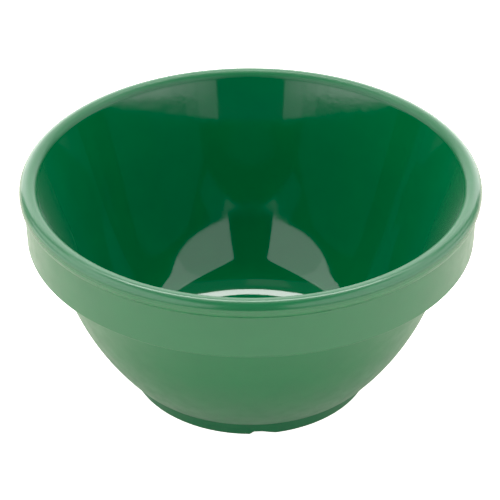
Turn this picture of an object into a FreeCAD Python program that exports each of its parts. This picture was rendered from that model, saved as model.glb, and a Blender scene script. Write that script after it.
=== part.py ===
import FreeCAD, Part
import math
import os

# Stackable round bowl, moulded in melamine. Millimetres, +Z up.
# The origin is the centre of the circle that the foot ring stands on.

# Rim bead
RIM_RADIUS = 50.8            # outermost radius of the bowl, 4 inches across
BEAD_RADIUS = 2.0            # the rim is a round bead of this radius
BEAD_HEIGHT = 49.4           # height of the bead's centre

# Stacking band below the bead
BAND_RADIUS = 49.85          # at its top, where it runs into the bead
BAND_DRAFT = 0.6             # degrees, narrowing downwards
BAND_BOTTOM = 37.7
BAND_EDGE = 0.5              # rounding of the band's lower edge
JUNCTION_FILLET = 0.4        # hollow between the bead and the band

# Outside of the wall
WALL_TOP_RADIUS = 45.8       # where the wall leaves the band's underside
WALL_DRAFT = 18.3            # degrees from vertical along its straight stretch
WALL_STRAIGHT_END = 25.1     # below this height the wall is an arc
WALL_ARC_RADIUS = 62.0
WALL_BOTTOM = 4.9            # height of the small ledge above the foot ring

# Foot ring
FOOT_RADIUS = 27.8           # outer radius where it stands, before rounding
FOOT_DRAFT = 12.0            # degrees, widening upwards
FOOT_INNER_RADIUS = 24.4
FOOT_INNER_DRAFT = 15.0
FOOT_EDGE = 0.5              # rounding of the ring's outer edges
FOOT_INNER_EDGE = 0.3        # rounding of its inner edges
RECESS_HEIGHT = 0.9          # hollow under the floor, inside the ring

# Inside of the bowl, finished surface
INNER_DRAFT = 18.15          # degrees from vertical along the straight top stretch
INNER_STRAIGHT_END = 32.0    # below this height the inside is curved
UPPER_ARC_RADIUS = 95.0      # a slow curve at first
UPPER_ARC_LEAN = 28.0        # to where the wall is this many degrees from vertical
LOWER_ARC_RADIUS = 48.8      # then a quicker one
FLOOR_FILLET = 14.5          # and the turn into the floor
FLOOR_HEIGHT = 3.6

# High-gloss skin over the inside and the top of the bead
GLAZE = 0.3

# Drain notches across the foot ring
NOTCH_ANGLES = [-84.3, 35.7, 155.7]
NOTCH_DEPTH = 0.84
NOTCH_HALF_WIDTH = 2.9
NOTCH_STEEP_RUN = 0.85       # the clockwise end rises within this length
NOTCH_FLAT_RUN = 1.9         # then a level stretch, then a long ramp down
CUTTER_BEYOND = 3.0          # how far a notch's cutter passes the ring on both sides
CUTTER_BELOW = 1.0           # and how far under it

TOLERANCE = 0.01             # two places closer than this are the same

BEAD_CENTRE = (RIM_RADIUS - BEAD_RADIUS, BEAD_HEIGHT)


def point(radius, height):
    return FreeCAD.Vector(radius, 0, height)


def on_circle(centre, radius, degrees):
    turn = math.radians(degrees)
    return point(centre[0] + radius * math.cos(turn), centre[1] + radius * math.sin(turn))


def line(start, end):
    return Part.LineSegment(start, end).toShape()


def arc(centre, radius, start, end):
    """Edge along a circle in the section plane, between two directions in degrees."""
    middle = on_circle(centre, radius, (start + end) / 2)
    return Part.Arc(on_circle(centre, radius, start), middle, on_circle(centre, radius, end)).toShape()


def revolve(edges):
    face = Part.Face(Part.Wire(edges))
    return face.revolve(FreeCAD.Vector(0, 0, 0), FreeCAD.Vector(0, 0, 1), 360)


def arc_centre(on_arc, radius, lean):
    """Centre of an arc that leaves a point of the wall where it leans this much from vertical."""
    turn = math.radians(lean)
    return (on_arc.x - radius * math.cos(turn), on_arc.z + radius * math.sin(turn))


def inner_surface(depth):
    """Edges from the axis to the bead's outermost side, this far below the finished surface."""
    # The straight stretch touches the bead above and the upper arc below.
    bead_touch = on_circle(BEAD_CENTRE, BEAD_RADIUS, 180 - INNER_DRAFT)
    straight_run = (bead_touch.z - INNER_STRAIGHT_END) * math.tan(math.radians(INNER_DRAFT))
    straight_end = point(bead_touch.x - straight_run, INNER_STRAIGHT_END)
    upper = arc_centre(straight_end, UPPER_ARC_RADIUS, INNER_DRAFT)
    lower = arc_centre(on_circle(upper, UPPER_ARC_RADIUS, -UPPER_ARC_LEAN), LOWER_ARC_RADIUS, UPPER_ARC_LEAN)

    # The floor fillet touches the floor and, from inside, the lower arc.
    reach = LOWER_ARC_RADIUS - FLOOR_FILLET
    drop = lower[1] - FLOOR_HEIGHT - FLOOR_FILLET
    fillet = (lower[0] + math.sqrt(reach ** 2 - drop ** 2), FLOOR_HEIGHT + FLOOR_FILLET)
    fillet_lean = math.degrees(math.asin(drop / reach))

    floor_edge = on_circle(fillet, FLOOR_FILLET + depth, -90)
    return [
        line(point(0, floor_edge.z), floor_edge),
        arc(fillet, FLOOR_FILLET + depth, -90, -fillet_lean),
        arc(lower, LOWER_ARC_RADIUS + depth, -fillet_lean, -UPPER_ARC_LEAN),
        arc(upper, UPPER_ARC_RADIUS + depth, -UPPER_ARC_LEAN, -INNER_DRAFT),
        line(on_circle(upper, UPPER_ARC_RADIUS + depth, -INNER_DRAFT),
             on_circle(BEAD_CENTRE, BEAD_RADIUS - depth, 180 - INNER_DRAFT)),
        arc(BEAD_CENTRE, BEAD_RADIUS - depth, 180 - INNER_DRAFT, 0),
    ]


def outer_corners():
    """Corners of the outside, from the bead's outermost side down and in to the axis."""
    band_slope = math.tan(math.radians(BAND_DRAFT))
    meet = math.degrees(math.acos((BAND_RADIUS - BEAD_CENTRE[0]) / BEAD_RADIUS))
    band_top = on_circle(BEAD_CENTRE, BEAD_RADIUS, -meet)
    band_bottom = point(BAND_RADIUS - (band_top.z - BAND_BOTTOM) * band_slope, BAND_BOTTOM)

    wall_top = point(WALL_TOP_RADIUS, BAND_BOTTOM)
    straight_run = (BAND_BOTTOM - WALL_STRAIGHT_END) * math.tan(math.radians(WALL_DRAFT))
    wall_arc_top = point(WALL_TOP_RADIUS - straight_run, WALL_STRAIGHT_END)

    ledge_foot = FOOT_RADIUS + WALL_BOTTOM * math.tan(math.radians(FOOT_DRAFT))
    inner_slope = math.tan(math.radians(FOOT_INNER_DRAFT))
    return {
        "meet": meet,
        "band_top": band_top,
        "band_bottom": band_bottom,
        "wall_top": wall_top,
        "wall_arc_top": wall_arc_top,
        "foot_top": point(ledge_foot, WALL_BOTTOM),
        "foot_outer": point(FOOT_RADIUS, 0),
        "foot_inner": point(FOOT_INNER_RADIUS, 0),
        "recess_edge": point(FOOT_INNER_RADIUS - RECESS_HEIGHT * inner_slope, RECESS_HEIGHT),
        "recess_centre": point(0, RECESS_HEIGHT),
    }


def outer_surface():
    """Edges from the bead's outermost side, over the band, wall and foot, to the axis."""
    corner = outer_corners()
    centre = arc_centre(corner["wall_arc_top"], WALL_ARC_RADIUS, WALL_DRAFT)
    bottom_lean = math.degrees(math.asin((centre[1] - WALL_BOTTOM) / WALL_ARC_RADIUS))
    wall_bottom = on_circle(centre, WALL_ARC_RADIUS, -bottom_lean)
    return [
        arc(BEAD_CENTRE, BEAD_RADIUS, 0, -corner["meet"]),
        line(corner["band_top"], corner["band_bottom"]),
        line(corner["band_bottom"], corner["wall_top"]),
        line(corner["wall_top"], corner["wall_arc_top"]),
        arc(centre, WALL_ARC_RADIUS, -WALL_DRAFT, -bottom_lean),
        line(wall_bottom, corner["foot_top"]),
        line(corner["foot_top"], corner["foot_outer"]),
        line(corner["foot_outer"], corner["foot_inner"]),
        line(corner["foot_inner"], corner["recess_edge"]),
        line(corner["recess_edge"], corner["recess_centre"]),
    ]


def circle_edges(solid, corner):
    """The circular edges of the solid that pass through a corner of its section."""
    found = []
    for edge in solid.Edges:
        if isinstance(edge.Curve, Part.Circle):
            same_radius = abs(edge.Curve.Radius - corner.x) < TOLERANCE
            same_height = abs(edge.Curve.Center.z - corner.z) < TOLERANCE
            if same_radius and same_height:
                found.append(edge)
    return found


def notch_cutter(angle):
    """Bar across the foot ring whose section is the notch: steep, level, then a long ramp."""
    steep = NOTCH_STEEP_RUN / NOTCH_DEPTH
    ramp_run = 2 * NOTCH_HALF_WIDTH - NOTCH_STEEP_RUN - NOTCH_FLAT_RUN
    ramp = ramp_run / NOTCH_DEPTH
    level_start = -NOTCH_HALF_WIDTH + NOTCH_STEEP_RUN
    section = [
        (-NOTCH_HALF_WIDTH - CUTTER_BELOW * steep, -CUTTER_BELOW),
        (level_start, NOTCH_DEPTH),
        (level_start + NOTCH_FLAT_RUN, NOTCH_DEPTH),
        (NOTCH_HALF_WIDTH + CUTTER_BELOW * ramp, -CUTTER_BELOW),
    ]
    start = FOOT_INNER_RADIUS - CUTTER_BEYOND
    length = FOOT_RADIUS + CUTTER_BEYOND - start
    corners = [FreeCAD.Vector(start, along, height) for along, height in section]
    face = Part.Face(Part.makePolygon(corners + corners[:1]))
    bar = face.extrude(FreeCAD.Vector(length, 0, 0))
    bar.rotate(FreeCAD.Vector(0, 0, 0), FreeCAD.Vector(0, 0, 1), angle)
    return bar


def bowl_body():
    """Moulded shell with its bead, stacking band and foot ring, recessed where the skin lies."""
    skin_end = on_circle(BEAD_CENTRE, BEAD_RADIUS - GLAZE, 0)
    rim_side = on_circle(BEAD_CENTRE, BEAD_RADIUS, 0)
    outside = outer_surface()
    bottom = line(point(0, RECESS_HEIGHT), point(0, FLOOR_HEIGHT - GLAZE))
    solid = revolve(inner_surface(GLAZE) + [line(skin_end, rim_side)] + outside + [bottom])

    corner = outer_corners()
    fillets = [
        ("band_top", JUNCTION_FILLET),
        ("band_bottom", BAND_EDGE),
        ("wall_top", BAND_EDGE),
        ("foot_top", FOOT_EDGE),
        ("foot_outer", FOOT_EDGE),
        ("foot_inner", FOOT_INNER_EDGE),
        ("recess_edge", FOOT_INNER_EDGE),
    ]
    for name, radius in fillets:
        solid = solid.makeFillet(radius, circle_edges(solid, corner[name]))
    for angle in NOTCH_ANGLES:
        solid = solid.cut(notch_cutter(angle))
    return solid


def inner_glaze():
    """Skin of even thickness over the inside, ending level with the bead's outermost side."""
    finished = inner_surface(0)
    under = inner_surface(GLAZE)
    rim_end = line(on_circle(BEAD_CENTRE, BEAD_RADIUS, 0), on_circle(BEAD_CENTRE, BEAD_RADIUS - GLAZE, 0))
    middle = line(point(0, FLOOR_HEIGHT - GLAZE), point(0, FLOOR_HEIGHT))
    return revolve(finished + [rim_end] + under[::-1] + [middle])


def main():
    os.makedirs("parts", exist_ok=True)
    nodes = {
        "bowl_body": bowl_body(),
        "inner_glaze": inner_glaze(),
    }
    for name, shape in nodes.items():
        solid = shape.Solids[0]
        assert len(shape.Solids) == 1 and solid.isValid(), name
        solid.exportStep("parts/" + name + ".step")
        print(name, round(solid.Volume), "mm3", solid.BoundBox)


main()
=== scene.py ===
import math
import bmesh
import bpy
from mathutils import Matrix, Vector


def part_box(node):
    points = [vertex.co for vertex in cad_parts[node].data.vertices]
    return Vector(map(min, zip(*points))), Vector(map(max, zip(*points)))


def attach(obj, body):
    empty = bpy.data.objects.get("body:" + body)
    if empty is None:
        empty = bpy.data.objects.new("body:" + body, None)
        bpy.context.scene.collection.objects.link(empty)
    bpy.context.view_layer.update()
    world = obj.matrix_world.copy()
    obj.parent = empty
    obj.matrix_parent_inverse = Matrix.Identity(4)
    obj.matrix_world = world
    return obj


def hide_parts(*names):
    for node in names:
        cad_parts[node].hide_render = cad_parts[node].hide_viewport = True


# Stackable melamine bowl on a white floor in a light tent. Metres, in the CAD model's frame.
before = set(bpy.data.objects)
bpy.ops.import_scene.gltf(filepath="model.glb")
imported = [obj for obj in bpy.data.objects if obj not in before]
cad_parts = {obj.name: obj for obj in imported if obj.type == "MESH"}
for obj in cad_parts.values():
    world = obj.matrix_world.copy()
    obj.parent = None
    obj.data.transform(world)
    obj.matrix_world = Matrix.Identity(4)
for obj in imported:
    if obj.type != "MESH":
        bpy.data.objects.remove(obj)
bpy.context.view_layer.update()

MM = 0.001

# The bowl's outline, as in the CAD model. Drafts and leans are degrees from vertical.
RIM_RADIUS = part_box("bowl_body")[1].x
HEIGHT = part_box("inner_glaze")[1].z
GLAZE = 0.3 * MM
BEAD_RADIUS = 2.0 * MM
BAND_RADIUS = 49.85 * MM
BAND_DRAFT = 0.6
BAND_BOTTOM = 37.7 * MM
BAND_EDGE = 0.5 * MM
JUNCTION_FILLET = 0.4 * MM
WALL_TOP_RADIUS = 45.8 * MM
WALL_DRAFT = 18.3
WALL_STRAIGHT_END = 25.1 * MM
WALL_ARC_RADIUS = 62.0 * MM
WALL_BOTTOM = 4.9 * MM
LEDGE_EDGE = 0.25 * MM
FOOT_RADIUS = 27.8 * MM
FOOT_DRAFT = 12.0
FOOT_INNER_RADIUS = 24.4 * MM
FOOT_INNER_DRAFT = 15.0
FOOT_EDGE = 0.5 * MM
FOOT_INNER_EDGE = 0.3 * MM
RECESS_HEIGHT = 0.9 * MM
INNER_DRAFT = 18.15
INNER_STRAIGHT_END = 32.0 * MM
UPPER_ARC_RADIUS = 95.0 * MM
UPPER_ARC_LEAN = 28.0
LOWER_ARC_RADIUS = 48.8 * MM
FLOOR_FILLET = 14.5 * MM
FLOOR_HEIGHT = 3.6 * MM

# Drain notches across the foot ring: the clockwise end is steep, the other a long ramp
NOTCH_ANGLES = [-84.3, 35.7, 155.7]
NOTCH_DEPTH = 0.84 * MM
NOTCH_HALF_WIDTH = 2.9 * MM
NOTCH_STEEP_RUN = 0.85 * MM
NOTCH_FLAT_RUN = 1.9 * MM
NOTCH_ROUNDING = 0.15 * MM
NOTCH_COLUMNS = 22           # fine mesh columns on each side of a notch's middle
NOTCH_STEP = 0.15 * MM       # and the distance between them

NOTCH_CLEARANCE = 9.0        # degrees beside a notch's middle without columns of the regular grid

# Fineness of the meshes: an arc's longest piece, the most it turns in one, and the pieces of a straight
COLUMNS = 240
FINE = (0.9 * MM, 4.0, 8)
HIDDEN = (4.0 * MM, 12.0, 2)
CORNER_TURN = 11.0           # the same turn for the small rounded corners
LEDGE_ROOM = 0.5             # degrees of the wall's arc that are left to the rounded ledge
TOUCHING = 0.001 * MM        # stretches of an outline that are closer than this share a point
SHARP_ANGLE = 35.0           # an edge that turns more than this isn't shaded smooth

# Camera: where it stands as seen from the foot's middle, how far it looks down, and its lens
CAMERA_DISTANCE = 8.318 * RIM_RADIUS
CAMERA_ELEVATION = 36.914
CAMERA_PITCH = 33.412
CAMERA_SIDE = -0.14 * MM
CAMERA_LENS = 128.9
CAMERA_SENSOR = 36.0

BEAD_CENTRE = Vector((RIM_RADIUS - BEAD_RADIUS, HEIGHT - BEAD_RADIUS))


def direction(degrees):
    """Unit vector that turns from +X towards +Y by this angle."""
    turn = math.radians(degrees)
    return Vector((math.cos(turn), math.sin(turn)))


def arc(centre, radius, start, end, fineness):
    """Points along an arc of the outline between two directions in degrees."""
    longest, turn, _ = fineness
    span = abs(end - start)
    steps = max(2, math.ceil(math.radians(span) * radius / longest), math.ceil(span / turn))
    turns = [start + (end - start) * step / steps for step in range(steps + 1)]
    return [centre + radius * direction(degrees) for degrees in turns]


def corner(before, at, after, radius):
    """Arc that rounds a corner of the outline between two straight stretches."""
    back = (before - at).normalized()
    ahead = (after - at).normalized()
    half = back.angle(ahead) / 2
    centre = at + (back + ahead).normalized() * radius / math.sin(half)
    start = at + back * radius / math.tan(half) - centre
    end = at + ahead * radius / math.tan(half) - centre
    start_turn = math.degrees(math.atan2(start.y, start.x))
    turn = -math.degrees(start.angle_signed(end))
    return arc(centre, radius, start_turn, start_turn + turn, (radius, CORNER_TURN, 1))


def joined(stretches, fineness):
    """One outline from several stretches, with the straight gaps between them divided."""
    steps = fineness[2]
    outline = list(stretches[0])
    for stretch in stretches[1:]:
        start, end = outline[-1], stretch[0]
        if (end - start).length < TOUCHING:
            outline += stretch[1:]
        else:
            outline += [start.lerp(end, step / steps) for step in range(1, steps)] + stretch
    return outline


def wall_arc_centre(top, radius, lean):
    """Centre of an arc of the wall that starts where the wall leans this much."""
    return top - radius * direction(-lean)


def inside(depth, fineness):
    """Outline from the axis up and over the rim to its outermost side, this far below the surface."""
    bead_touch = BEAD_CENTRE + BEAD_RADIUS * direction(180 - INNER_DRAFT)
    run = (bead_touch.y - INNER_STRAIGHT_END) * math.tan(math.radians(INNER_DRAFT))
    straight_end = Vector((bead_touch.x - run, INNER_STRAIGHT_END))
    upper = wall_arc_centre(straight_end, UPPER_ARC_RADIUS, INNER_DRAFT)
    upper_end = upper + UPPER_ARC_RADIUS * direction(-UPPER_ARC_LEAN)
    lower = wall_arc_centre(upper_end, LOWER_ARC_RADIUS, UPPER_ARC_LEAN)
    reach = LOWER_ARC_RADIUS - FLOOR_FILLET
    drop = lower.y - FLOOR_HEIGHT - FLOOR_FILLET
    fillet = Vector((lower.x + math.sqrt(reach ** 2 - drop ** 2), FLOOR_HEIGHT + FLOOR_FILLET))
    fillet_lean = math.degrees(math.asin(drop / reach))
    return joined([
        [Vector((0, FLOOR_HEIGHT - depth))],
        arc(fillet, FLOOR_FILLET + depth, -90, -fillet_lean, fineness),
        arc(lower, LOWER_ARC_RADIUS + depth, -fillet_lean, -UPPER_ARC_LEAN, fineness),
        arc(upper, UPPER_ARC_RADIUS + depth, -UPPER_ARC_LEAN, -INNER_DRAFT, fineness),
        arc(BEAD_CENTRE, BEAD_RADIUS - depth, 180 - INNER_DRAFT, 0, fineness),
    ], fineness)


def outside(lift):
    """Outline from the rim's outermost side down to the foot and in to the axis.

    In a notch the foot ring ends higher than elsewhere, at lift.
    """
    down_band = direction(270 - BAND_DRAFT)
    meet = math.degrees(math.acos((BAND_RADIUS - BEAD_CENTRE.x) / BEAD_RADIUS))
    band_top = BEAD_CENTRE + BEAD_RADIUS * direction(-meet)
    band_bottom = band_top + down_band * (band_top.y - BAND_BOTTOM) / -down_band.y

    # The hollow between bead and band is a circle that touches both from outside.
    beside = band_top + JUNCTION_FILLET * direction(-BAND_DRAFT) - BEAD_CENTRE
    along = beside.dot(down_band)
    reach = BEAD_RADIUS + JUNCTION_FILLET
    hollow = beside + down_band * (math.sqrt(along ** 2 - beside.length_squared + reach ** 2) - along)
    bead_end = math.degrees(math.atan2(hollow.y, hollow.x))

    wall_top = Vector((WALL_TOP_RADIUS, BAND_BOTTOM))
    down_wall = direction(270 - WALL_DRAFT)
    wall_arc_top = wall_top + down_wall * (BAND_BOTTOM - WALL_STRAIGHT_END) / -down_wall.y
    wall_arc = wall_arc_centre(wall_arc_top, WALL_ARC_RADIUS, WALL_DRAFT)
    wall_end_lean = math.degrees(math.asin((wall_arc.y - WALL_BOTTOM) / WALL_ARC_RADIUS))
    wall_end = wall_arc + WALL_ARC_RADIUS * direction(-wall_end_lean)
    above_end = wall_end - direction(270 - wall_end_lean) * MM    # only gives the wall's direction there

    foot_slope = math.tan(math.radians(FOOT_DRAFT))
    inner_slope = math.tan(math.radians(FOOT_INNER_DRAFT))
    foot_top = Vector((FOOT_RADIUS + WALL_BOTTOM * foot_slope, WALL_BOTTOM))
    foot_outer = Vector((FOOT_RADIUS + lift * foot_slope, lift))
    foot_inner = Vector((FOOT_INNER_RADIUS - lift * inner_slope, lift))
    recess_edge = Vector((FOOT_INNER_RADIUS - RECESS_HEIGHT * inner_slope, RECESS_HEIGHT))
    recess_middle = Vector((0, RECESS_HEIGHT))
    inner_rounding = min(FOOT_INNER_EDGE, (RECESS_HEIGHT - lift) / 2)
    return joined([
        arc(BEAD_CENTRE, BEAD_RADIUS, 0, bead_end, FINE),
        arc(BEAD_CENTRE + hollow, JUNCTION_FILLET, bead_end + 180, 180 - BAND_DRAFT, FINE),
        corner(band_top, band_bottom, wall_top, BAND_EDGE),
        corner(band_bottom, wall_top, wall_arc_top, BAND_EDGE),
        arc(wall_arc, WALL_ARC_RADIUS, -WALL_DRAFT, LEDGE_ROOM - wall_end_lean, FINE),
        corner(above_end, wall_end, foot_top, LEDGE_EDGE),
        corner(wall_end, foot_top, foot_outer, FOOT_EDGE),
        corner(foot_top, foot_outer, foot_inner, FOOT_EDGE),
        corner(foot_outer, foot_inner, recess_edge, inner_rounding),
        corner(foot_inner, recess_edge, recess_middle, inner_rounding),
        [recess_middle],
    ], FINE)


def notch_height(across):
    """Height of the notch at this distance from its middle, with softened corners."""
    ramp_run = 2 * NOTCH_HALF_WIDTH - NOTCH_STEEP_RUN - NOTCH_FLAT_RUN
    shifts = (-1, -0.5, 0, 0.5, 1)
    total = 0
    for shift in shifts:
        place = across + shift * NOTCH_ROUNDING
        steep = (place + NOTCH_HALF_WIDTH) / NOTCH_STEEP_RUN
        ramp = (NOTCH_HALF_WIDTH - place) / ramp_run
        total += NOTCH_DEPTH * max(0, min(1, steep, ramp))
    return total / len(shifts)


def mesh_columns():
    """The meshes' columns as (angle, distance across a notch or None), in order round the axis."""
    columns = []
    for step in range(COLUMNS):
        turn = -180 + 360 * step / COLUMNS
        if min(abs(turn - notch) for notch in NOTCH_ANGLES) > NOTCH_CLEARANCE:
            columns.append((turn, None))
    for notch in NOTCH_ANGLES:
        for step in range(-NOTCH_COLUMNS, NOTCH_COLUMNS + 1):
            columns.append((notch, step * NOTCH_STEP))
    return sorted(columns, key=lambda column: column_turn(column, FOOT_RADIUS))


def column_turn(column, radius):
    """Direction of a column at a radius. Across a notch the columns run parallel, as the notch does."""
    turn, across = column
    if across is None:
        return turn
    ring_radius = max(FOOT_INNER_RADIUS, min(radius, FOOT_RADIUS + MM))
    return turn + math.degrees(math.asin(across / ring_radius))


def revolved(name, outline_of):
    """Closed smooth mesh from one outline per column.

    All outlines start at one point on the axis and end at another.
    """
    mesh = bmesh.new()
    columns = mesh_columns()
    first_outline = outline_of(columns[0])
    start = mesh.verts.new((0, 0, first_outline[0].y))
    end = mesh.verts.new((0, 0, first_outline[-1].y))
    rows = []
    for column in columns:
        row = []
        for place in outline_of(column)[1:-1]:
            around = direction(column_turn(column, place.x))
            row.append(mesh.verts.new((place.x * around.x, place.x * around.y, place.y)))
        rows.append([start] + row + [end])
    for here, beside in zip(rows, rows[1:] + rows[:1]):
        for step in range(len(here) - 1):
            corners = [here[step], beside[step], beside[step + 1], here[step + 1]]
            mesh.faces.new(list(dict.fromkeys(corners)))    # on the axis two corners are one
    bmesh.ops.recalc_face_normals(mesh, faces=mesh.faces)
    data = bpy.data.meshes.new(name)
    mesh.to_mesh(data)
    mesh.free()
    data.shade_smooth()
    data.set_sharp_from_angle(angle=math.radians(SHARP_ANGLE))
    piece = bpy.data.objects.new(name, data)
    bpy.context.scene.collection.objects.link(piece)
    smoothing = piece.modifiers.new("even_shading", "WEIGHTED_NORMAL")
    smoothing.keep_sharp = True
    return piece


def bowl_shell():
    """The moulded body: its outside, and the surface that the skin covers."""
    covered = inside(GLAZE, HIDDEN)[::-1]
    outline_at = {}

    def outline_of(column):
        """The whole closed outline at a column, which is made once for each notch height."""
        lift = 0 if column[1] is None else notch_height(column[1])
        if lift not in outline_at:
            outline_at[lift] = outside(lift)[::-1] + covered
        return outline_at[lift]

    return revolved("bowl_shell", outline_of)


def gloss_skin():
    """The high-gloss skin over the inside and the top of the rim."""
    outline = inside(0, FINE) + inside(GLAZE, HIDDEN)[::-1]
    return revolved("gloss_skin", lambda column: outline)


class Nodes:
    """Short ways to add and link the nodes of one material."""

    def __init__(self, name):
        self.material = bpy.data.materials.new(name)
        self.material.use_nodes = True
        self.tree = self.material.node_tree
        self.tree.nodes.clear()
        self.place = self.add("ShaderNodeTexCoord").outputs["Object"]

    def add(self, kind, inputs=None, **settings):
        """New node with these settings, whose inputs are linked or set to values."""
        made = self.tree.nodes.new(kind)
        for setting, value in settings.items():
            setattr(made, setting, value)
        for socket, value in (inputs or {}).items():
            if isinstance(value, bpy.types.NodeSocket):
                self.tree.links.new(value, made.inputs[socket])
            else:
                made.inputs[socket].default_value = value
        return made

    def noise(self, size, detail):
        """Noise whose features are about this many metres across."""
        inputs = {"Vector": self.place, "Scale": 1 / size, "Detail": detail}
        return self.add("ShaderNodeTexNoise", inputs).outputs["Fac"]

    def between(self, value, low, high, from_low=0.0, from_high=1.0):
        """Value rescaled to the range from low to high."""
        inputs = {"Value": value, "From Min": from_low, "From Max": from_high}
        inputs.update({"To Min": low, "To Max": high})
        return self.add("ShaderNodeMapRange", inputs).outputs["Result"]

    def from_axis(self):
        """Distance from the bowl's axis."""
        flat = self.add("ShaderNodeVectorMath", {0: self.place, 1: (1, 1, 0)}, operation="MULTIPLY")
        length = self.add("ShaderNodeVectorMath", {0: flat.outputs["Vector"]}, operation="LENGTH")
        return length.outputs["Value"]

    def maths(self, operation, first, second):
        """Result of an operation on two values."""
        made = self.add("ShaderNodeMath", {0: first, 1: second}, operation=operation)
        return made.outputs["Value"]

    def blend(self, share, first, second):
        """Mix of two colours by a value from 0 to 1."""
        made = self.add("ShaderNodeMix", data_type="RGBA")
        for socket, value in (("Factor_Float", share), ("A_Color", first), ("B_Color", second)):
            target = next(entry for entry in made.inputs if entry.identifier == socket)
            if isinstance(value, bpy.types.NodeSocket):
                self.tree.links.new(value, target)
            else:
                target.default_value = value
        return next(entry for entry in made.outputs if entry.identifier == "Result_Color")

    def finish(self, colour, roughness, normal, **shader_values):
        """Principled shader with these inputs, as the material's surface."""
        inputs = {"Base Color": colour, "Roughness": roughness, "Normal": normal}
        inputs.update(shader_values)
        shader = self.add("ShaderNodeBsdfPrincipled", inputs)
        self.add("ShaderNodeOutputMaterial", {"Surface": shader.outputs["BSDF"]})
        return self.material


NOISE_RANGE = (0.3, 0.7)     # where most values of a noise lie
SPECK_RANGE = (0.65, 0.8)    # where the specks' noise is high enough to show

# Melamine, as linear colour, and the shades of its marks as shares lighter or darker
GREEN = (0.0, 0.114, 0.0265)
MELAMINE_IOR = 1.6
MOTTLE = 0.04
SPECK_SHADE = -0.5
SPECK_COVER = 0.05           # how strongly the darkest specks show
PARTING_SHADE = 0.5
PARTING_COVER = 0.15         # how strongly the line's shade shows
PARTING_ROUGHNESS = 0.12     # how much rougher it is
PARTING_HALF_WIDTH = 0.12 * MM
CLOUD_SIZE = 7 * MM
SPECK_SIZE = 0.3 * MM
GLOSS_PATCH_SIZE = 3 * MM
PEEL_SIZE = 1.6 * MM
BODY_PEEL = 0.004 * MM
OVERLAY_PEEL = 0.003 * MM
BODY_GLOSS = (0.28, 0.36)        # the smoothest and the roughest patches
OVERLAY_GLOSS = (0.05, 0.08)

# The overlay's own finish. On the bead the places are in bead radii up or out from its centre.
RIM_FADE = (0.1, 0.5)        # heights between which the duller rim begins
RIM_ROUGHNESS = 0.4          # how much rougher it is
SHINE_FADE = (-0.2, 0.3)     # places between which its clear coat grows
SHINE = (0.15, 0.8)          # and its weight at them
COAT_ROUGHNESS = 0.14
COAT_IOR = 1.5
HAZE = 0.07                  # sheen inside the bowl, as from fine scratches
HAZE_ROUGHNESS = 0.5

# Paper, and light painted into it as glow, which grows with the distance from the bowl: a painted shadow
# near the bowl
WHITE = (0.82, 0.82, 0.82)
TABLE_TONE = (0.85, 0.79, 0.70)
PAPER_MOTTLE = 0.02
FIBRE_SIZE = 1.5 * MM
GRAIN_SIZE = 0.6 * MM
GRAIN_HEIGHT = 0.02 * MM
PAPER_ROUGHNESS = 0.8
PAPER_LIGHT = (1.0, 0.98, 0.95, 1)
GLOW_START = 52 * MM
GLOW_FULL = 85 * MM
GLOW_DEPTH = 70 * MM         # from this far in front of the axis to this far behind it, the light fades
SHEET_GAP = 0.1 * MM         # between the two sheets of the floor

# Light, as radiance where the camera shows 1.0 as white
# Painted light of the lower floor: dim near the bowl as a painted shadow, brighter away from it
PAINTED_FLOOR_GLOW = (0.18, 0.69)    # near the bowl and away from it
HORIZON_GLOW = 0.35
HORIZON_FADE = (6, 12)       # degrees above the horizon between which its glow ends
ROOM_GLOW = 0.04
RED_BLACK_LEVEL = 0.016      # red below this is lost in the camera

# In metres
STUDIO_SIZE = 6.0
TENT_HEIGHT = 0.9

# The tent's sides: their radiance, and their shape as shares of the tent's height.
# A part is its start and end along the side, and its share of the side's radiance.
LEFT_SIDE = 1.85
RIGHT_SIDE = 1.65
SIDE_START = (0.285, -0.944)     # front end of a side: outwards and towards the back
SIDE_RUN = (0.675, 1.647)        # its direction
SIDE_PARTS = ((0, 0.75, 0.97), (0.75, 1.78, 1.2))
SIDE_BOTTOM = 0.33
STRIP_BOTTOM = 0.189
STRIP_SLOPE = -0.129
STRIP_WIDTH = 0.2
STRIP_PARTS = (
    (0.05, 0.12, 0.5),
    (0.12, 0.2, 0.6),
    (0.2, 0.3, 0.72),
    (0.3, 0.4, 0.86),
    (0.4, 0.5, 1.0),
    (0.5, 1.5, 1.2),
)
HEM_WIDTH = 0.023
HEM_PARTS = ((0.05, 0.28, 0.34), (0.28, 0.4, 0.18))

# The tent's other panels: a corner and the two edges that start there, in the same shares, and the radiance
PANELS = (
    ("back", (-0.9, 1.0, 0), (1.8, 0, 0), (0, 0, 0.85), 2.7),
    ("back_top", (-0.9, 1.0, 0.85), (1.8, 0, 0), (0, 0, 0.25), 1.3),
    ("overhead", (-0.45, 0.385, 1.2), (0.9, 0, 0), (0, 0.31, 0), 10.3),
    ("overhead_left", (-0.92, 0.385, 1.2), (0.47, 0, 0), (0, 0.31, 0), 3.0),
    ("overhead_right", (0.45, 0.385, 1.2), (0.47, 0, 0), (0, 0.31, 0), 3.0),
    ("ceiling", (-0.9, -0.1, 1.2), (1.8, 0, 0), (0, 0.45, 0), 0.28),
    ("spill", (-0.35, -0.1, 1.18), (0.38, 0, 0), (0, 0.29, 0), 0.25),
    ("fill", (-0.7, -0.4, 1.2), (0.8, 0, 0), (0, 0.8, 0), 2.5),
)
UNREFLECTED = "fill"             # the panel that doesn't show in reflections


def shade(colour, share):
    """An opaque colour, lighter or darker by a share."""
    return (colour[0] * (1 + share), colour[1] * (1 + share), colour[2] * (1 + share), 1)


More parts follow.
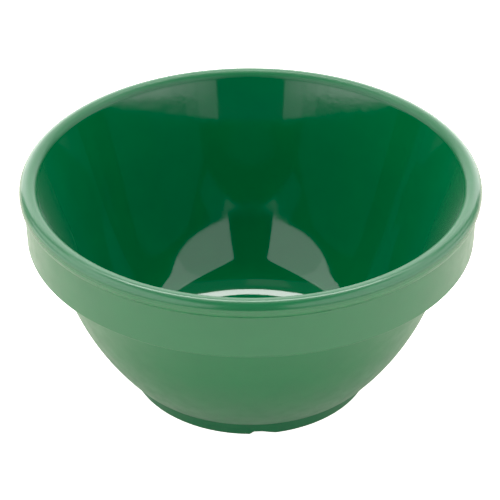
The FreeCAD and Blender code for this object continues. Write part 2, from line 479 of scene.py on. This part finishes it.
def parting_line(nodes):
    """Mask of the line round the rim where the mould opened and its flash was rubbed down."""
    apart = nodes.add("ShaderNodeSeparateXYZ", {"Vector": nodes.place})
    above = nodes.maths("SUBTRACT", apart.outputs["Z"], BEAD_CENTRE.y)
    away = nodes.maths("ABSOLUTE", above, 0)
    outer = nodes.maths("GREATER_THAN", nodes.from_axis(), BEAD_CENTRE.x)
    near = nodes.between(away, 1, 0, 0.5 * PARTING_HALF_WIDTH, PARTING_HALF_WIDTH)
    return nodes.maths("MULTIPLY", near, outer)


def rim_masks(nodes):
    """Two masks from 0 to 1: the top of the rim, and its shine, which is strongest on the outer half."""
    apart = nodes.add("ShaderNodeSeparateXYZ", {"Vector": nodes.place})
    heights = [BEAD_CENTRE.y + share * BEAD_RADIUS for share in RIM_FADE]
    radii = [BEAD_CENTRE.x + share * BEAD_RADIUS for share in SHINE_FADE]
    rim = nodes.between(apart.outputs["Z"], 0, 1, *heights)
    shine = nodes.between(nodes.from_axis(), *SHINE, *radii)
    return rim, nodes.maths("MULTIPLY", rim, shine)


def melamine(name, smoothest, roughest, peel_height, overlay):
    """Green melamine with cloudy pigment, fine specks, orange peel and a rubbed parting line.

    The overlay also has a duller rim with a clear coat, and a faint haze inside.
    """
    nodes = Nodes(name)
    clouds = nodes.between(nodes.noise(CLOUD_SIZE, 3), 0, 1, *NOISE_RANGE)
    colour = nodes.blend(clouds, shade(GREEN, -MOTTLE), shade(GREEN, MOTTLE))
    specks = nodes.between(nodes.noise(SPECK_SIZE, 1), 0, SPECK_COVER, *SPECK_RANGE)
    colour = nodes.blend(specks, colour, shade(GREEN, SPECK_SHADE))
    rubbed = parting_line(nodes)
    marked = nodes.maths("MULTIPLY", rubbed, PARTING_COVER)
    colour = nodes.blend(marked, colour, shade(GREEN, PARTING_SHADE))
    roughness = nodes.between(nodes.noise(GLOSS_PATCH_SIZE, 3), smoothest, roughest, *NOISE_RANGE)
    roughness = nodes.maths("ADD", roughness, nodes.maths("MULTIPLY", rubbed, PARTING_ROUGHNESS))
    lobes = {}
    if overlay:
        rim, shine = rim_masks(nodes)
        roughness = nodes.maths("ADD", roughness, nodes.maths("MULTIPLY", rim, RIM_ROUGHNESS))
        lobes = {
            "Coat Weight": shine,
            "Coat Roughness": COAT_ROUGHNESS,
            "Coat IOR": COAT_IOR,
            "Sheen Weight": nodes.between(rim, HAZE, 0),
            "Sheen Roughness": HAZE_ROUGHNESS,
        }
    peel = nodes.add("ShaderNodeBump", {"Height": nodes.noise(PEEL_SIZE, 1), "Distance": peel_height})
    return nodes.finish(colour, roughness, peel.outputs["Normal"], IOR=MELAMINE_IOR, **lobes)


def paper(name, tone, near_glow, far_glow):
    """Matte paper with painted light as glow: weaker near the bowl as a painted shadow, and weaker behind
    it than in front.
    """
    nodes = Nodes(name)
    fibres = nodes.between(nodes.noise(FIBRE_SIZE, 4), 0, 1, *NOISE_RANGE)
    colour = nodes.blend(fibres, shade(tone, -PAPER_MOTTLE), shade(tone, PAPER_MOTTLE))
    grain = nodes.add("ShaderNodeBump", {"Height": nodes.noise(GRAIN_SIZE, 3), "Distance": GRAIN_HEIGHT})
    away = nodes.add("ShaderNodeVectorMath", {0: nodes.place}, operation="LENGTH").outputs["Value"]
    # Painted shadow: the glow is weaker near the bowl
    strength = nodes.between(away, near_glow, far_glow, GLOW_START, GLOW_FULL)
    along = nodes.add("ShaderNodeSeparateXYZ", {"Vector": nodes.place}).outputs["Y"]
    # Painted shade: the glow is dimmer behind the bowl than in front of it
    behind = nodes.between(along, 1, near_glow / far_glow, -GLOW_DEPTH, GLOW_DEPTH)
    strength = nodes.maths("MULTIPLY", strength, behind)
    lit = {"Emission Color": PAPER_LIGHT, "Emission Strength": strength}
    return nodes.finish(colour, PAPER_ROUGHNESS, grain.outputs["Normal"], **lit)


def sheet_of_paper(name, size, height, material):
    """Level square sheet round the axis."""
    floor_mesh = bmesh.new()
    bmesh.ops.create_grid(floor_mesh, x_segments=8, y_segments=8, size=size / 2)
    data = bpy.data.meshes.new(name)
    floor_mesh.to_mesh(data)
    floor_mesh.free()
    sheet = bpy.data.objects.new(name, data)
    sheet.location.z = height
    bpy.context.scene.collection.objects.link(sheet)
    data.materials.append(material)
    return sheet


def backdrop(size, material):
    """Round wall as wide as the floor, half above it and half below: low views also see plain white."""
    wall_mesh = bmesh.new()
    bmesh.ops.create_cone(wall_mesh, segments=96, radius1=size / 2, radius2=size / 2, depth=size)
    data = bpy.data.meshes.new("backdrop")
    wall_mesh.to_mesh(data)
    wall_mesh.free()
    wall = bpy.data.objects.new("backdrop", data)
    bpy.context.scene.collection.objects.link(wall)
    data.materials.append(material)
    return wall


def studio_floor(size):
    """White surroundings that only the camera sees, and under them a floor whose painted glow lights the
    bowl, with a painted shadow near it.
    """
    white = paper("white_paper", WHITE, 1.0, 1.0)
    for seen in (sheet_of_paper("studio_floor", size, 0, white), backdrop(size, white)):
        seen.visible_diffuse = False
        seen.visible_glossy = False
        seen.visible_shadow = False
    # Painted light: this floor's glow stands in for lamp-lit paper, with a painted shadow near the bowl
    warm = paper("painted_light_floor", TABLE_TONE, *PAINTED_FLOOR_GLOW)
    table = sheet_of_paper("painted_light_floor", size, -SHEET_GAP, warm)
    table.visible_camera = False


def soft_panel(name, start, along, up, radiance):
    """Rectangular softbox from one corner and two of its edges, shining towards the bowl."""
    light = bpy.data.lights.new(name, "AREA")
    light.shape = "RECTANGLE"
    light.size = along.length
    light.size_y = up.length
    light.energy = radiance * math.pi * along.length * up.length
    middle = start + (along + up) / 2
    across = along.normalized()
    rise = up.normalized()
    back = across.cross(rise)    # an area light shines away from this side
    if back.dot(middle) < 0:
        across = -across
        back = -back
    panel = bpy.data.objects.new(name, light)
    bpy.context.scene.collection.objects.link(panel)
    panel.matrix_world = Matrix.Translation(middle) @ Matrix((across, rise, back)).transposed().to_4x4()
    panel.visible_camera = False
    return panel


def tent_side(name, side, height, brightness):
    """One side of the tent: plain panels above, and a strip with a hem below.

    The strip slants down towards the back and is dimmer at its front end. The hem lies under its
    front part and is dimmer still.
    """
    front = Vector((side * SIDE_START[0], SIDE_START[1], 0)) * height
    run = Vector((side * SIDE_RUN[0], SIDE_RUN[1], 0)).normalized() * height
    bottom = Vector((0, 0, SIDE_BOTTOM)) * height
    rise = Vector((0, 0, 1 - SIDE_BOTTOM)) * height
    for start, end, share in SIDE_PARTS:
        soft_panel(name, front + run * start + bottom, run * (end - start), rise, share * brightness)

    edge = run + Vector((0, 0, STRIP_SLOPE)) * height
    across = run.cross(Vector((0, 0, 1))).cross(edge).normalized() * height
    corner_place = front + Vector((0, 0, STRIP_BOTTOM)) * height
    for start, end, share in STRIP_PARTS:
        place = corner_place + edge * start
        soft_panel(name + "_strip", place, edge * (end - start), STRIP_WIDTH * across, share * brightness)
    corner_place -= HEM_WIDTH * across
    for start, end, share in HEM_PARTS:
        place = corner_place + edge * start
        soft_panel(name + "_hem", place, edge * (end - start), HEM_WIDTH * across, share * brightness)


def light_tent(height):
    """White sides that open towards the camera, a bright back and a strong softbox overhead."""
    tent_side("left_side", -1, height, LEFT_SIDE)
    tent_side("right_side", 1, height, RIGHT_SIDE)
    for name, start, along, up, radiance in PANELS:
        corner_place, edge, other_edge = [Vector(lengths) * height for lengths in (start, along, up)]
        panel = soft_panel(name, corner_place, edge, other_edge, radiance)
        panel.visible_glossy = name != UNREFLECTED


def dark_room():
    """Nearly dark surroundings with a dim horizon, seen only past the tent."""
    world = bpy.data.worlds.new("dark_room")
    world.use_nodes = True
    tree = world.node_tree
    place = tree.nodes.new("ShaderNodeTexCoord")
    apart = tree.nodes.new("ShaderNodeSeparateXYZ")
    fade = tree.nodes.new("ShaderNodeMapRange")
    fade.inputs["From Min"].default_value = math.sin(math.radians(HORIZON_FADE[0]))
    fade.inputs["From Max"].default_value = math.sin(math.radians(HORIZON_FADE[1]))
    fade.inputs["To Min"].default_value = HORIZON_GLOW
    fade.inputs["To Max"].default_value = ROOM_GLOW
    background = tree.nodes["Background"]
    background.inputs["Color"].default_value = (1, 1, 1, 1)
    tree.links.new(place.outputs["Generated"], apart.inputs["Vector"])
    tree.links.new(apart.outputs["Z"], fade.inputs["Value"])
    tree.links.new(fade.outputs["Result"], background.inputs["Strength"])
    bpy.context.scene.world = world


def camera():
    """Camera in front of the bowl, a little beside its axis, looking down at it."""
    data = bpy.data.cameras.new("camera")
    data.lens = CAMERA_LENS
    data.sensor_width = CAMERA_SENSOR
    made = bpy.data.objects.new("camera", data)
    away = CAMERA_DISTANCE * direction(CAMERA_ELEVATION)
    made.location = (CAMERA_SIDE, -away.x, away.y)
    made.rotation_euler = (math.radians(90 - CAMERA_PITCH), 0, 0)
    bpy.context.scene.collection.objects.link(made)
    bpy.context.scene.camera = made


def studio_colours():
    """Plain colours, but such a saturated green leaves the camera almost no red."""
    settings = bpy.context.scene.view_settings
    settings.view_transform = "Standard"
    settings.use_curve_mapping = True
    settings.curve_mapping.black_level = (RED_BLACK_LEVEL, 0, 0)
    settings.curve_mapping.update()


shell = bowl_shell()
shell.data.materials.append(melamine("moulded_melamine", *BODY_GLOSS, BODY_PEEL, overlay=False))
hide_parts("bowl_body")
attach(shell, "root")

skin = gloss_skin()
skin.data.materials.append(melamine("gloss_melamine", *OVERLAY_GLOSS, OVERLAY_PEEL, overlay=True))
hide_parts("inner_glaze")
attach(skin, "root")

studio_floor(STUDIO_SIZE)
light_tent(TENT_HEIGHT)
dark_room()
camera()
studio_colours()
